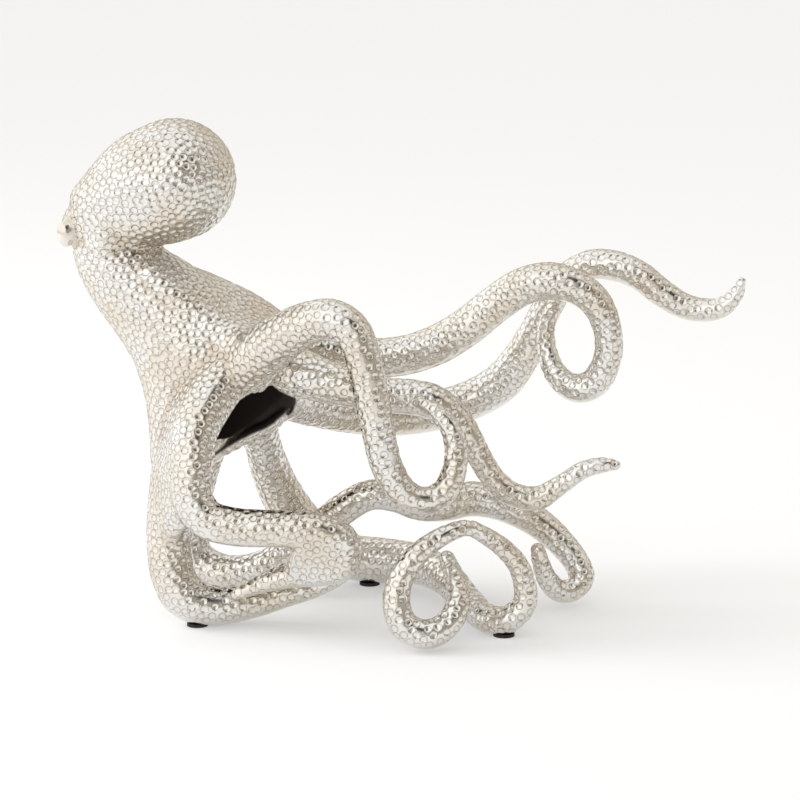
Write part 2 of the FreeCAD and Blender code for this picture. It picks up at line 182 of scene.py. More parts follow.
POINTING_SHARES = (
    (-0.187, 0.020, 0.491, 0.99),
    (-0.147, -0.016, 0.484, 0.92),
    (-0.104, -0.042, 0.468, 0.77),
    (-0.062, -0.060, 0.456, 0.68),
    (-0.020, -0.069, 0.446, 0.63),
    (0.017, -0.073, 0.442, 0.63),
    (0.048, -0.073, 0.432, 0.61),
    (0.075, -0.069, 0.404, 0.56),
    (0.096, -0.069, 0.365, 0.48),
    (0.113, -0.069, 0.322, 0.44),
    (0.133, -0.073, 0.279, 0.43),
    (0.161, -0.078, 0.250, 0.43),
    (0.195, -0.078, 0.244, 0.43),
    (0.226, -0.078, 0.269, 0.35),
    (0.258, -0.078, 0.299, 0.32),
    (0.286, -0.078, 0.309, 0.28),
    (0.304, -0.078, 0.309, 0.19),
)
TEARDROP_SHARES = (
    (-0.198, 0.180, 0.508, 1.01),
    (-0.150, 0.198, 0.507, 0.94),
    (-0.101, 0.207, 0.494, 0.79),
    (-0.052, 0.207, 0.486, 0.72),
    (0.000, 0.198, 0.489, 0.72),
    (0.052, 0.184, 0.513, 0.72),
    (0.097, 0.171, 0.552, 0.70),
    (0.137, 0.158, 0.598, 0.68),
    (0.174, 0.144, 0.633, 0.68),
    (0.213, 0.131, 0.646, 0.68),
    (0.250, 0.122, 0.635, 0.62),
    (0.279, 0.118, 0.604, 0.57),
    (0.295, 0.118, 0.555, 0.52),
    (0.297, 0.122, 0.499, 0.51),
    (0.281, 0.136, 0.447, 0.54),
    (0.253, 0.158, 0.430, 0.52),
    (0.226, 0.189, 0.452, 0.43),
    (0.212, 0.220, 0.499, 0.36),
    (0.212, 0.247, 0.546, 0.32),
    (0.223, 0.269, 0.585, 0.25),
)
REACHING_SHARES = (
    (-0.198, 0.136, 0.441, 0.93),
    (-0.159, 0.216, 0.405, 0.87),
    (-0.114, 0.291, 0.374, 0.78),
    (-0.065, 0.349, 0.352, 0.73),
    (-0.012, 0.389, 0.343, 0.74),
    (0.044, 0.416, 0.348, 0.74),
    (0.098, 0.429, 0.367, 0.74),
    (0.145, 0.429, 0.402, 0.74),
    (0.175, 0.420, 0.452, 0.68),
    (0.197, 0.407, 0.509, 0.61),
    (0.217, 0.393, 0.568, 0.55),
    (0.240, 0.376, 0.622, 0.55),
    (0.276, 0.358, 0.654, 0.55),
    (0.314, 0.340, 0.654, 0.56),
    (0.348, 0.322, 0.636, 0.53),
    (0.378, 0.309, 0.605, 0.51),
    (0.409, 0.296, 0.580, 0.47),
    (0.439, 0.282, 0.572, 0.43),
    (0.465, 0.269, 0.579, 0.38),
    (0.484, 0.260, 0.604, 0.29),
    (0.493, 0.251, 0.635, 0.15),
)
RING_LEG_SHARES = (
    (-0.222, 0.162, 0.410, 0.86),
    (-0.210, 0.233, 0.356, 0.76),
    (-0.200, 0.284, 0.297, 0.68),
    (-0.188, 0.320, 0.234, 0.74),
    (-0.167, 0.340, 0.169, 0.81),
    (-0.134, 0.350, 0.110, 0.82),
    (-0.082, 0.340, 0.062, 0.84),
    (-0.022, 0.320, 0.053, 0.84),
    (0.029, 0.250, 0.056, 0.74),
    (0.068, 0.095, 0.053, 0.63),
    (0.094, -0.080, 0.041, 0.55),
    (0.119, -0.220, 0.031, 0.52),
    (0.149, -0.273, 0.034, 0.50),
    (0.174, -0.282, 0.073, 0.43),
    (0.168, -0.287, 0.133, 0.38),
    (0.147, -0.300, 0.174, 0.35),
    (0.121, -0.318, 0.204, 0.31),
    (0.093, -0.344, 0.226, 0.29),
    (0.062, -0.371, 0.217, 0.33),
    (0.029, -0.398, 0.190, 0.38),
    (0.004, -0.420, 0.149, 0.44),
    (-0.005, -0.438, 0.102, 0.48),
    (0.005, -0.447, 0.055, 0.51),
    (0.036, -0.447, 0.037, 0.51),
    (0.064, -0.429, 0.052, 0.48),
    (0.080, -0.398, 0.089, 0.42),
    (0.076, -0.353, 0.126, 0.37),
    (0.065, -0.300, 0.160, 0.28),
)
HOOK_SHARES = (
    (-0.255, 0.109, 0.428, 0.97),
    (-0.277, 0.153, 0.350, 0.90),
    (-0.294, 0.216, 0.265, 0.82),
    (-0.308, 0.269, 0.181, 0.77),
    (-0.312, 0.291, 0.111, 0.74),
    (-0.298, 0.285, 0.061, 0.70),
    (-0.262, 0.255, 0.041, 0.66),
    (-0.223, 0.229, 0.047, 0.62),
    (-0.184, 0.202, 0.070, 0.60),
    (-0.149, 0.184, 0.106, 0.60),
    (-0.113, 0.180, 0.147, 0.60),
    (-0.078, 0.176, 0.187, 0.58),
    (-0.043, 0.171, 0.212, 0.56),
    (-0.006, 0.171, 0.208, 0.56),
    (0.029, 0.171, 0.192, 0.58),
    (0.067, 0.162, 0.195, 0.62),
    (0.104, 0.153, 0.207, 0.64),
    (0.145, 0.144, 0.198, 0.61),
    (0.184, 0.136, 0.175, 0.58),
    (0.217, 0.127, 0.143, 0.54),
    (0.246, 0.109, 0.103, 0.49),
    (0.262, 0.090, 0.066, 0.47),
    (0.259, 0.075, 0.046, 0.43),
    (0.243, 0.058, 0.034, 0.42),
    (0.225, 0.040, 0.041, 0.41),
    (0.210, 0.022, 0.068, 0.37),
    (0.202, 0.012, 0.098, 0.33),
    (0.197, 0.006, 0.126, 0.27),
)
ARM_ROWS = dict(
    zip(
        ARMS,
        (
            OUTER_LEG_SHARES,
            HAIRPIN_SHARES,
            ARCH_SHARES,
            POINTING_SHARES,
            TEARDROP_SHARES,
            REACHING_SHARES,
            RING_LEG_SHARES,
            HOOK_SHARES,
        ),
    )
)
EYE_SHARES = ((-0.467, 0.024, 0.751), (-0.467, 0.140, 0.751))
EYE_RADII = (0.0070, 0.0070, 0.0105)
# The place of one pad, how high its underside is, and how high and how wide its seat is.
PAD_SHARES = (-0.286, -0.156)
PAD_LIFT = 0.0010
PAD_SEAT = 0.0022
SEAT_REACH = 0.015


# ---------------------------------------------------------------- camera
# Where the camera looks, how far above level it stands, its distance, and its focal length
# in widths of one pixel of the photograph.
CAMERA_AIM = Vector((-0.00448, 0.03864, 0.1470))
CAMERA_RISE = math.radians(12.0)
CAMERA_DISTANCE = 2.2
SENSOR_WIDTH = 36.0
PHOTO_WIDTH = 800.0
FOCAL_LENGTH = 3055.0
CLIP_START, CLIP_END = 0.05, 30.0


def make_camera():
    back = Vector((0.0, -math.cos(CAMERA_RISE), math.sin(CAMERA_RISE)))
    data = bpy.data.cameras.new("camera")
    data.sensor_width = SENSOR_WIDTH
    data.lens = SENSOR_WIDTH * FOCAL_LENGTH / PHOTO_WIDTH
    data.clip_start = CLIP_START
    data.clip_end = CLIP_END
    camera = bpy.data.objects.new("camera", data)
    camera.location = CAMERA_AIM + back * CAMERA_DISTANCE
    camera.rotation_mode = "QUATERNION"
    camera.rotation_quaternion = (-back).to_track_quat("-Z", "Y")
    bpy.context.scene.collection.objects.link(camera)
    bpy.context.scene.camera = camera


make_camera()


# ---------------------------------------------------------------- limbs from their rows
# Places on the line between two rows, points round an arm and round the body, rings of a
# round end, and what lies between two limbs that a web joins.
RUN_STEPS = 10
ARM_SIDES = 48
BODY_SIDES = 80
END_STEPS = 8
WEB_ROWS = 5
WEB_TAPER = 0.8
WEB_STEPS = np.linspace(0.0, 1.0, 12)[1:-1]
TINY = 1e-12


def unit(vectors):
    return vectors / np.maximum(np.linalg.norm(vectors, axis=-1, keepdims=True), TINY)


def box_of(thing):
    """The low and high corners of a CAD object."""
    corners = np.array([tuple(v.co) for v in thing.data.vertices])
    return corners.min(axis=0), corners.max(axis=0)


def frame_shift():
    """How far the loaded part lies from the places in the tables, by one of its pads."""
    low, high = box_of(NODES["pad_outer_leg"])
    middle = (low + high) / 2
    shift_x = middle[0] - PAD_SHARES[0] * FIGURE_SIZES[0]
    shift_y = middle[1] - PAD_SHARES[1] * FIGURE_SIZES[1]
    return np.array((shift_x, shift_y, low[2] - PAD_LIFT, 0.0))


SHIFT = frame_shift()


def metres(rows):
    return np.array(rows) * np.array(FIGURE_SIZES)[: len(rows[0])] + SHIFT[: len(rows[0])]


def smooth_rows(rows):
    """Places and radii on the smooth line that passes through all the rows."""
    rows = metres(rows)
    line = []
    for index in range(len(rows) - 1):
        a = rows[max(index - 1, 0)]
        b = rows[index]
        c = rows[index + 1]
        d = rows[min(index + 2, len(rows) - 1)]
        for step in range(RUN_STEPS):
            t = step / RUN_STEPS
            bend = 2 * b + (c - a) * t
            bend = bend + (2 * a - 5 * b + 4 * c - d) * t ** 2
            bend = bend + (3 * b - a - 3 * c + d) * t ** 3
            line.append(bend / 2)
    line.append(rows[-1])
    return np.array(line)


def headings_of(line):
    ahead = unit(np.diff(line[:, :3], axis=0))
    both = np.vstack([ahead[:1], ahead[1:] + ahead[:-1], ahead[-1:]])
    return unit(both)


def tube(line, sides, round_end):
    """The closed skin of a limb: rings along its line, a flat start and a flat or round end."""
    headings = headings_of(line)
    centres = line[:, :3]
    radii = line[:, 3]
    tip = centres[-1]
    if round_end:
        ahead = headings[-1] * radii[-1]
        tip = tip + ahead
        angle = np.linspace(0.0, np.pi / 2, END_STEPS + 1)[1:-1]
        centres = np.vstack([centres, centres[-1] + np.sin(angle)[:, None] * ahead])
        headings = np.vstack([headings, np.repeat(headings[-1:], len(angle), axis=0)])
        radii = np.concatenate([radii, radii[-1] * np.cos(angle)])
    side = Vector(headings[0]).orthogonal().normalized()
    around = np.linspace(0.0, 2 * np.pi, sides, endpoint=False)
    points = []
    for place, heading, radius in zip(centres, headings, radii):
        heading = Vector(heading)
        side = (side - heading * side.dot(heading)).normalized()
        other = heading.cross(side)
        ring = np.outer(np.cos(around), side) + np.outer(np.sin(around), other)
        points.append(place + ring * radius)
    faces = []
    for row in range(len(points) - 1):
        low = row * sides
        for i in range(sides):
            j = (i + 1) % sides
            faces.append((low + i, low + j, low + sides + j, low + sides + i))
    start, end = len(points) * sides, len(points) * sides + 1
    high = (len(points) - 1) * sides
    for i in range(sides):
        j = (i + 1) % sides
        faces.append((start, j, i))
        faces.append((end, high + i, high + j))
    points = np.vstack(points + [centres[:1], tip[None, :]])
    return points, faces


def limb(rows, sides, first=0, last=None, round_end=False):
    line = smooth_rows(rows)
    stop = len(line) if last is None else last * RUN_STEPS + 1
    return tube(line[first * RUN_STEPS : stop], sides, round_end)


def webs():
    """The skin between two limbs that run side by side, as limbs between them."""
    pairs = (
        (CREST_SHARES, SHOULDER_SHARES),
        (OUTER_LEG_SHARES[:WEB_ROWS], HAIRPIN_SHARES[:WEB_ROWS]),
        # The hairpin's way out, and its way back from the far end of the bend.
        (HAIRPIN_SHARES[8:12], HAIRPIN_SHARES[14:10:-1]),
    )
    result = []
    for one, other in pairs:
        for share in WEB_STEPS:
            rows = np.array(one) * (1.0 - share) + np.array(other) * share
            rows[-1, 3] *= WEB_TAPER
            result.append(limb(rows, ARM_SIDES, round_end=True))
    result.append(limb(HIP_SHARES, ARM_SIDES, round_end=True))
    result.append(limb(NECK_SHARES, BODY_SIDES, round_end=True))
    return result


def hollow_rows():
    """The line of the open hollow, one wall thinner than the torso and run out of its mouth."""
    line = smooth_rows(TORSO_SHARES)[HOLLOW_FIRST_ROW * RUN_STEPS :]
    line = line - np.array((0.0, 0.0, 0.0, SHELL_WALL))
    past = line[-1].copy()
    past[:3] += headings_of(line)[-1] * MOUTH_OVERRUN
    return np.vstack([line, past[None, :]])


def mouth_cutter():
    """What is cut from the torso below the slanting plane of its mouth."""
    facing = unit(np.array(MOUTH_FACING))
    start = np.append(metres((MOUTH_SHARES,))[0], MOUTH_CUT)
    line = np.array([start, start + np.append(facing * MOUTH_CUT, 0.0)])
    return tube(line, ARM_SIDES, False)


def eye(row):
    """An upright oval bulge."""
    line = []
    place = metres((row,))[0]
    for angle in np.linspace(-np.pi / 2, np.pi / 2, END_STEPS * 2 + 1)[1:-1]:
        rise = EYE_RADII[2] * math.sin(angle)
        line.append((place[0], place[1], place[2] + rise, EYE_RADII[0] * math.cos(angle)))
    return tube(np.array(line), ARM_SIDES // 2, False)


# ---------------------------------------------------------------- one even skin
VOXEL = 0.00080


def solid_object(name, points, faces):
    mesh = bpy.data.meshes.new(name)
    mesh.from_pydata([tuple(p) for p in points.tolist()], [], faces)
    thing = bpy.data.objects.new(name, mesh)
    bpy.context.scene.collection.objects.link(thing)
    return thing


def shown_mesh(thing):
    graph = bpy.context.evaluated_depsgraph_get()
    return bpy.data.meshes.new_from_object(thing.evaluated_get(graph))


def cut_away(thing, cutters):
    for cutter in cutters:
        cut = thing.modifiers.new("cut", "BOOLEAN")
        cut.operation = "DIFFERENCE"
        cut.solver = "EXACT"
        cut.object = cutter
    mesh = shown_mesh(thing)
    thing.modifiers.clear()
    thing.data = mesh


def joined_mesh(things):
    """One object that holds the faces of all the things, which it takes the place of."""
    points = []
    faces = []
    for thing in things:
        mesh = thing.data
        start = len(points)
        points.extend(tuple(v.co) for v in mesh.vertices)
        faces.extend(tuple(start + i for i in p.vertices) for p in mesh.polygons)
        bpy.data.objects.remove(thing)
    return solid_object("source", np.array(points), faces)


def cast_object():
    """All the metal as one even skin of small quads."""
    hollow = solid_object("hollow", *tube(hollow_rows(), BODY_SIDES, False))
    mouth = solid_object("mouth", *mouth_cutter())
    hollowed = [
        solid_object("mantle", *limb(MANTLE_SHARES, BODY_SIDES, round_end=True)),
        solid_object("shoulder", *limb(SHOULDER_SHARES, ARM_SIDES, round_end=True)),
        solid_object("crest", *limb(CREST_SHARES, ARM_SIDES)),
    ]
    for name in ARMS:
        hollowed.append(solid_object("root", *limb(ARM_ROWS[name], ARM_SIDES, 0, WELD_ROW)))
    for web in webs():
        hollowed.append(solid_object("web", *web))
    torso = solid_object("torso", *limb(TORSO_SHARES, BODY_SIDES))
    cut_away(torso, (mouth, hollow))
    for thing in hollowed:
        cut_away(thing, (hollow,))
    whole = [torso] + hollowed
    for name in ARMS:
        arm = limb(ARM_ROWS[name], ARM_SIDES, WELD_ROW, round_end=True)
        whole.append(solid_object("arm", *arm))
    whole.append(solid_object("lip", *limb(LIP_SHARES, ARM_SIDES, round_end=True)))
    for row in EYE_SHARES:
        whole.append(solid_object("eye", *eye(row)))
    source = joined_mesh(whole)
    bpy.data.objects.remove(hollow)
    bpy.data.objects.remove(mouth)
    remesh = source.modifiers.new("remesh", "REMESH")
    remesh.mode = "VOXEL"
    remesh.voxel_size = VOXEL
    thing = bpy.data.objects.new("skin", shown_mesh(source))
    bpy.data.objects.remove(source)
    bpy.context.scene.collection.objects.link(thing)
    return thing


SHARE_STEPS = 10
LEAST_PASSES = 2


class Skin:
    """The points and quads of the skin as arrays, and its smoothing."""

    def __init__(self, thing):
        self.thing = thing
        mesh = thing.data
        places = np.empty(len(mesh.vertices) * 3, np.float32)
        mesh.vertices.foreach_get("co", places)
        self.places = places.reshape(-1, 3).astype(np.float64)
        loops = np.empty(len(mesh.loops), np.int32)
        mesh.loops.foreach_get("vertex_index", loops)
        self.quads = loops.reshape(-1, 4)

    def shares_group(self, shares):
        """A group that says how far each point follows the smoothing."""
        group = self.thing.vertex_groups.new(name="shares")
        steps = np.round(np.clip(shares, 0.0, 1.0) * SHARE_STEPS).astype(int)
        for step in range(1, SHARE_STEPS + 1):
            members = np.nonzero(steps == step)[0].tolist()
            if members:
                group.add(members, step / SHARE_STEPS, "REPLACE")
        return group

    def blurred(self, values, passes, shares=None):
        """Even out a value that each point carries, over that many rings of neighbours."""
        flat = values.ndim == 1
        field = np.zeros_like(self.places)
        if flat:
            field[:, 0] = values
        else:
            field[:] = values
        mesh = self.thing.data
        mesh.vertices.foreach_set("co", field.astype(np.float32).ravel())
        mesh.update()
        smooth = self.thing.modifiers.new("smooth", "SMOOTH")
        smooth.factor = 1.0
        smooth.iterations = passes
        group = None
        if shares is not None:
            group = self.shares_group(shares)
            smooth.vertex_group = group.name
        graph = bpy.context.evaluated_depsgraph_get()
        shown = self.thing.evaluated_get(graph).data
        result = np.empty(len(self.places) * 3, np.float32)
        shown.vertices.foreach_get("co", result)
        result = result.reshape(-1, 3).astype(np.float64)
        self.thing.modifiers.remove(smooth)
        if group is not None:
            self.thing.vertex_groups.remove(group)
        return result[:, 0] if flat else result

    def normals(self):
        a, b, c, d = (self.places[self.quads[:, i]] for i in range(4))
        across = np.cross(c - a, d - b)
        normals = np.zeros_like(self.places)
        for corner in range(4):
            for axis in range(3):
                normals[:, axis] += np.bincount(
                    self.quads[:, corner], across[:, axis], minlength=len(normals)
                )
        return unit(normals)


def passes_for(reach):
    """How many smoothing passes even things out over about this distance."""
    return max(LEAST_PASSES, round((reach / VOXEL) ** 2))


# ---------------------------------------------------------------- hollow and welds
# The dark of the hollow reaches this far past its wall, and this far round the lip. The
# lip's inner side is the one that looks this way, and the back of the body stays bright.
HOLLOW_NEAR = -0.0024
HOLLOW_STEP = 4
LIP_NEAR = 0.0045
LIP_INSIDE = np.array((-0.562, 0.172, 0.808))
LIP_FACING = 0.2
# How far the steps of the small quads are taken off.
ROUNDING = 0.0020
# A crease is where the skin curves inwards more than this, one over metres. Its fillet
# begins and ends at these distances, and only the sharper creases get brown patina and painted
# shade.
CREASE_CURVE = 5.0
PATINA_AND_SHADE_CURVE = 45.0
CREASE_REACH = 0.0045
CREASE_GAIN = 5.0
FILLET_REACH = 0.0095
LEVEL_PASSES = 4
CURVE_PASSES = 8


def in_hollow(places, normals):
    """Which places are on the hollow's own wall: near it, and facing its axis."""
    axis = hollow_rows()
    best = np.full(len(places), -1.0)
    facing = np.zeros(len(places))
    for a, b in zip(axis[::HOLLOW_STEP], axis[HOLLOW_STEP::HOLLOW_STEP]):
        run = b[:3] - a[:3]
        share = np.clip((places - a[:3]) @ run / (run @ run), 0.0, 1.0)
        near = a[:3] + share[:, None] * run
        radius = a[3] + share * (b[3] - a[3])
        depth = radius - np.linalg.norm(places - near, axis=1)
        closer = depth > best
        best[closer] = depth[closer]
        facing[closer] = np.einsum("ij,ij->i", unit(near - places), normals)[closer]
    inside = (best > HOLLOW_NEAR) & (facing > 0.0)
    # The lip is dark on its inner side alone.
    lip = smooth_rows(LIP_SHARES)[RUN_STEPS:]
    closest = np.full(len(places), np.inf)
    for a, reach in zip(lip, np.linspace(0.0, LIP_NEAR, len(lip))):
        away = places - a[:3]
        gap = np.linalg.norm(away, axis=1) - a[3]
        nearer = (gap < closest) & (gap < reach)
        closest[nearer] = gap[nearer]
        inside[nearer] = (away[nearer] @ LIP_INSIDE > 0.0) & (normals[nearer, 1] < LIP_FACING)
    return inside


def fill_welds(skin):
    """Fillet the creases where the limbs meet: the skin is pulled level there.

    Returns which points lie in the sharper creases, which get patina and painted shade.
    """
    normals = skin.normals()
    inside = in_hollow(skin.places, normals)
    levelled = skin.blurred(skin.places, LEVEL_PASSES)
    curve = np.einsum("ij,ij->i", levelled - skin.places, normals) / VOXEL ** 2
    curve = skin.blurred(curve, CURVE_PASSES)
    # The sharper creases get brown patina and painted shade, where shade gathers between the
    # limbs.
    creased = ((curve > CREASE_CURVE) & ~inside).astype(float)
    patina_and_shade_creases = ((curve > PATINA_AND_SHADE_CURVE) & ~inside).astype(float)
    spread = skin.blurred(creased, passes_for(CREASE_REACH))
    spread = np.clip(spread * CREASE_GAIN, 0.0, 1.0)
    spread[inside] = 0.0
    skin.places = skin.blurred(skin.places, passes_for(FILLET_REACH), spread)
    return patina_and_shade_creases


# ---------------------------------------------------------------- dimples
# How wide and how deep the dimples are and how far apart they lie, on the body and on the
# arms. The body's share fades out along an arm over this distance.
BODY_CUP = 0.00285
ARM_CUP = 0.0026
BODY_DEPTH = 0.00094
ARM_DEPTH = 0.00088
BODY_SPACING = 0.0052
ARM_SPACING = 0.0056
BODY_FADE = 0.045
LEAST_SIZE, MOST_SIZE = 0.90, 1.08
# A dimple is a shallow bowl with a steep wall: the bowl's share of its depth, how sharply
# the wall rises at the rim, and how wide the rim's patina and painted shade are.
BOWL_SHARE = 0.45
WALL_POWER = 6.0
RIM_WIDTH = 0.13
# The draw of their places: points tried, the first spacing as a share of the last, and how
# often the spacing is evened out.
SAMPLES = 160000
DRAW_SPACING = 0.86
EVEN_ROUNDS = 3
DRAW_SEED = 20
# Where they fade out: at the eyes, along the lip and under the arms.
EYE_CALM = 1.02
EYE_FADE = 0.22
LIP_CALM = 0.45
LIP_STEP = 3
UNDER_FROM = 0.80
UNDER_FADE = 0.35
UNDER_LEAST = 0.15
CALM_PASSES = 6
# How far the dark paint of the hollow, and the patina and painted shade of the creases, spread.
HOLLOW_PASSES = 3
PATINA_AND_SHADE_REACH = 0.0035
PATINA_AND_SHADE_GAIN = 3.0
# No casting's surface is looked for further away than this.
LIMB_REACH = 0.02
TIE = 1e-7
rng = np.random.default_rng(DRAW_SEED)


def tree_of(name):
    mesh = NODES[name].data
    return BVHTree.FromPolygons(
        [v.co.copy() for v in mesh.vertices], [tuple(p.vertices) for p in mesh.polygons]
    )


def limb_of(spots):
    """For each spot, the number of the cast node whose surface is nearest."""
    trees = [tree_of(name) for name in CAST_NODES]
    names = np.zeros(len(spots), np.int32)
    for row, spot in enumerate(spots.tolist()):
        best = 1.0
        for number, tree in enumerate(trees):
            hit = tree.find_nearest(spot, min(best, LIMB_REACH))
            if hit[3] is not None and hit[3] < best - TIE:
                best = hit[3]
                names[row] = number
    return names


def scatter(places, spacing):
    """Rows of places that lie at least a spacing apart, drawn in a fixed order."""
    cell = float(spacing.max())
    grid = {}
    kept = []
    cells = np.floor(places / cell).astype(np.int64).tolist()
    squares = (spacing ** 2).tolist()
    offsets = [(i, j, k) for i in (-1, 0, 1) for j in (-1, 0, 1) for k in (-1, 0, 1)]
    for row, (x, y, z) in enumerate(places.tolist()):
        i, j, k = cells[row]
        reach = squares[row]
        free = True
        for di, dj, dk in offsets:
            for ox, oy, oz in grid.get((i + di, j + dj, k + dk), ()):
                if (x - ox) ** 2 + (y - oy) ** 2 + (z - oz) ** 2 < reach:
                    free = False
                    break
            if not free:
                break
        if free:
            grid.setdefault((i, j, k), []).append((x, y, z))
            kept.append(row)
    return np.array(kept)


def nearest(seeds, places):
    """For each place, the number of the nearest seed and how far it is."""
    tree = KDTree(len(seeds))
    for index, place in enumerate(seeds.tolist()):
        tree.insert(place, index)
    tree.balance()
    numbers = np.empty(len(places), np.int32)
    gaps = np.empty(len(places))
    for row, place in enumerate(places.tolist()):
        _, numbers[row], gaps[row] = tree.find(place)
    return numbers, gaps


def body_shares(places):
    """How near each place is to the body: 1 on it, and 0 where its share has faded out."""
    tree = tree_of("body_shell")
    shares = np.zeros(len(places))
    for row, place in enumerate(places.tolist()):
        hit = tree.find_nearest(place, BODY_FADE)
        if hit[3] is not None:
            shares[row] = 1.0 - hit[3] / BODY_FADE
    return shares


def dimple_seeds(places, inside):
    """The middles of the dimples, spread evenly, and the body's share at each.

    The body is close-packed. Along each arm the dimples draw apart.
    """
    ground = places[rng.permutation(np.nonzero(~inside)[0])[:SAMPLES]]
    share = body_shares(ground)
    spacing = BODY_SPACING * share + ARM_SPACING * (1.0 - share)
    seeds = ground[scatter(ground, spacing * DRAW_SPACING)]
    # Even the spacing out: each seed moves to the middle of the ground nearest to it.
    for _ in range(EVEN_ROUNDS):
        numbers = nearest(seeds, ground)[0]
        total = np.maximum(np.bincount(numbers, minlength=len(seeds)), 1)
        for axis in range(3):
            seeds[:, axis] = np.bincount(numbers, ground[:, axis], minlength=len(seeds)) / total
        # Those middles lie under the curved skin, so they go back to its nearest point.
        back = nearest(ground, seeds)[0]
        seeds = ground[back]
    return seeds, share[back]


def calm_shares(skin, normals, inside, own_share):
    """How much of a dimple's depth each point keeps."""
    calm = np.ones(len(skin.places))
    for row in EYE_SHARES:
        from_eye = (skin.places - metres((row,))[0]) / np.array(EYE_RADII)
        from_eye = np.linalg.norm(from_eye, axis=1)
        calm = np.minimum(calm, np.clip((from_eye - EYE_CALM) / EYE_FADE, 0.0, 1.0))
    for a in smooth_rows(LIP_SHARES)[::LIP_STEP]:
        on_lip = np.linalg.norm(skin.places - a[:3], axis=1) < a[3] + LIP_NEAR
        calm[on_lip] = np.minimum(calm[on_lip], LIP_CALM)
    # The undersides of the arms are nearly smooth.
    under = np.clip((normals[:, 2] + UNDER_FROM) / UNDER_FADE, UNDER_LEAST, 1.0)
    calm *= under * (1.0 - own_share) + own_share
    calm[inside] = 0.0
    return skin.blurred(calm, CALM_PASSES)


def seat_pads(skin, normals):
    """The seats of the pads are flat."""
    for name in PADS:
        low, high = box_of(NODES[name])
        middle = (low + high) / 2
        reach = np.linalg.norm(skin.places[:, :2] - middle[:2], axis=1)
        seated = (reach < SEAT_REACH) & (skin.places[:, 2] < PAD_SEAT)
        skin.places[seated, 2] = PAD_SEAT
        normals[seated] = (0.0, 0.0, -1.0)


def press_dimples(skin, patina_and_shade_creases):
    """Press the dimples into the skin.

    Returns the number of the casting that each point belongs to, its normal, and what the
    material paints by: the dimples' rims and the creases, with patina and painted shade, and the
    hollow.
    """
    normals = skin.normals()
    inside = in_hollow(skin.places, normals)
    seeds, seed_share = dimple_seeds(skin.places, inside)
    numbers, gaps = nearest(seeds, skin.places)
    own_share = seed_share[numbers]
    size = rng.uniform(LEAST_SIZE, MOST_SIZE, len(seeds))[numbers]
    radius = (BODY_CUP * own_share + ARM_CUP * (1.0 - own_share)) * size
    calm = calm_shares(skin, normals, inside, own_share)
    depth = (BODY_DEPTH * own_share + ARM_DEPTH * (1.0 - own_share)) * calm
    out = np.clip(gaps / radius, 0.0, 1.0)
    cup = 1.0 - BOWL_SHARE * out ** 2 - (1.0 - BOWL_SHARE) * out ** WALL_POWER
    slope = 2.0 * BOWL_SHARE + WALL_POWER * (1.0 - BOWL_SHARE) * out ** (WALL_POWER - 2.0)
    slope = np.where(cup > 0.0, slope * depth / radius ** 2, 0.0)
    from_seed = skin.places - seeds[numbers]
    from_seed -= normals * np.einsum("ij,ij->i", from_seed, normals)[:, None]
    skin.places = skin.places - normals * (depth * cup)[:, None]
    # The creases' brown: patina with painted shade, spread round the sharper creases.
    creases = skin.blurred(patina_and_shade_creases, passes_for(PATINA_AND_SHADE_REACH))
    paint = {
        # rim: a ring of brown patina and painted shade round each dimple
        "rim": np.exp(-(((gaps / radius - 1.0) / RIM_WIDTH) ** 2)) * calm,
        "hollow": skin.blurred(inside.astype(float), HOLLOW_PASSES),
        "crease": np.clip(creases * PATINA_AND_SHADE_GAIN, 0.0, 1.0),
    }
    normals = unit(normals - from_seed * slope[:, None])
    seat_pads(skin, normals)
    return limb_of(seeds)[numbers], normals, paint


# ---------------------------------------------------------------- materials
SILVER = (0.81, 0.80, 0.775)
WARM_SILVER = (0.75, 0.70, 0.62)
TINT_SCALE, TINT_FROM, TINT_TO = 30.0, 0.36, 0.62
# The brown of the dimples' rims: patina, and painted shade on the dimple walls.
RIM_PATINA_AND_SHADE = (0.31, 0.25, 0.19)
RIM_PATINA_AND_SHADE_SHARE = 0.70
# The brown of the creases where the limbs meet: patina, and painted shade.
CREASE_PATINA_AND_SHADE = (0.46, 0.37, 0.28)
CREASE_PATINA_AND_SHADE_SHARE = 0.45
HOLLOW_DARK = (0.030, 0.022, 0.019)
HOLLOW_ROUGH = 0.55
NOISE_DETAIL = 3.0
GRAIN_SCALE = 420.0
GRAIN_ROUGH = (0.12, 0.24)
GRAIN_BUMP = (0.15, 0.0006)
RUBBER_BLACK = (0.012, 0.012, 0.012)
RUBBER_SCALE, RUBBER_DETAIL = 700.0, 2.0
RUBBER_ROUGH = (0.55, 0.80)
RUBBER_BUMP = (0.25, 0.0003)


def new_material(name):
    material = bpy.data.materials.new(name)
    material.use_nodes = True
    nodes = material.node_tree.nodes
    return material, nodes, material.node_tree.links, nodes["Principled BSDF"]


def joined(links, nodes, factor, below, colour):
    """The colour laid over the one below, by the factor. Returns the new colour."""
    mix = nodes.new("ShaderNodeMix")
    mix.data_type = "RGBA"
    mix.inputs["B"].default_value = (*colour, 1.0)
    links.new(factor, mix.inputs["Factor"])
    links.new(below, mix.inputs["A"])
    return mix.outputs["Result"]


def painted(nodes, name):
    """A value that the points of the mesh carry."""
    layer = nodes.new("ShaderNodeAttribute")
    layer.attribute_name = name
    return layer.outputs["Fac"]


def calculated(nodes, links, operation, one, other):
    """A sum with two values, each of them a number or an output."""
    step = nodes.new("ShaderNodeMath")
    step.operation = operation
    for socket, value in zip(step.inputs, (one, other)):
        if isinstance(value, float):
            socket.default_value = value
        else:
            links.new(value, socket)
    return step.outputs["Value"]


